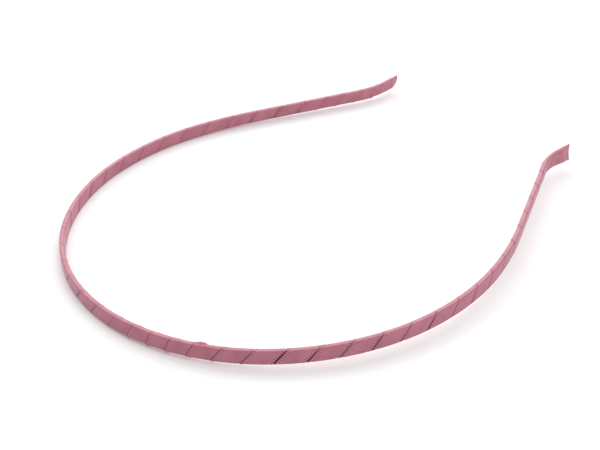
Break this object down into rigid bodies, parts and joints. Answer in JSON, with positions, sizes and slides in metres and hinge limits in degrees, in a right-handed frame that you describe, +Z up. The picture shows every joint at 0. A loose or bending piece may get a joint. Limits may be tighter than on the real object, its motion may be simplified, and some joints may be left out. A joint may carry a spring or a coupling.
{
  "type": "headband",
  "caption": "Slim springy U-shaped hair band: a steel strip wound end to end with narrow satin ribbon, with flared ribbon-covered tips.",
  "frame": {"origin": "on the surface that the band lies on, under the middle of its bounding box", "axes": "+X to the band's right side, +Y from the crown towards the open end between the tips, +Z up along the band's width as it lies on its edge"},
  "size_m": [0.1244, 0.1572, 0.0052],
  "materials": {
    "spring_steel": "bright cold-rolled strip, fine lengthwise rolling lines",
    "tape": "thin double-sided tape, dark and slightly tacky",
    "satin_ribbon": "dusty pink single-face satin with woven selvedges, soft sheen"
  },
  "bodies": {
    "crown": {"steel_strip_crown": "spring_steel", "outer_tape_crown": "tape", "inner_tape_crown": "tape", "ribbon_wrap_crown": "satin_ribbon"},
    "left_side": {"steel_strip_left": "spring_steel", "outer_tape_left": "tape", "inner_tape_left": "tape", "ribbon_wrap_left": "satin_ribbon", "ribbon_tab_left": "satin_ribbon"},
    "right_side": {"steel_strip_right": "spring_steel", "outer_tape_right": "tape", "inner_tape_right": "tape", "ribbon_wrap_right": "satin_ribbon", "ribbon_tab_right": "satin_ribbon"}
  },
  "joints": [
    {"name": "left_flex", "type": "hinge", "parent": "crown", "child": "left_side", "pos_m": [-0.04427, -0.05785, 0.00185], "axis": [0, 0, 1], "range_deg": [-5, 15], "stiffness_Nm_per_rad": 0.24},
    {"name": "right_flex", "type": "hinge", "parent": "crown", "child": "right_side", "pos_m": [0.04427, -0.05785, 0.00185], "axis": [0, 0, -1], "range_deg": [-5, 15], "stiffness_Nm_per_rad": 0.24}
  ]
}
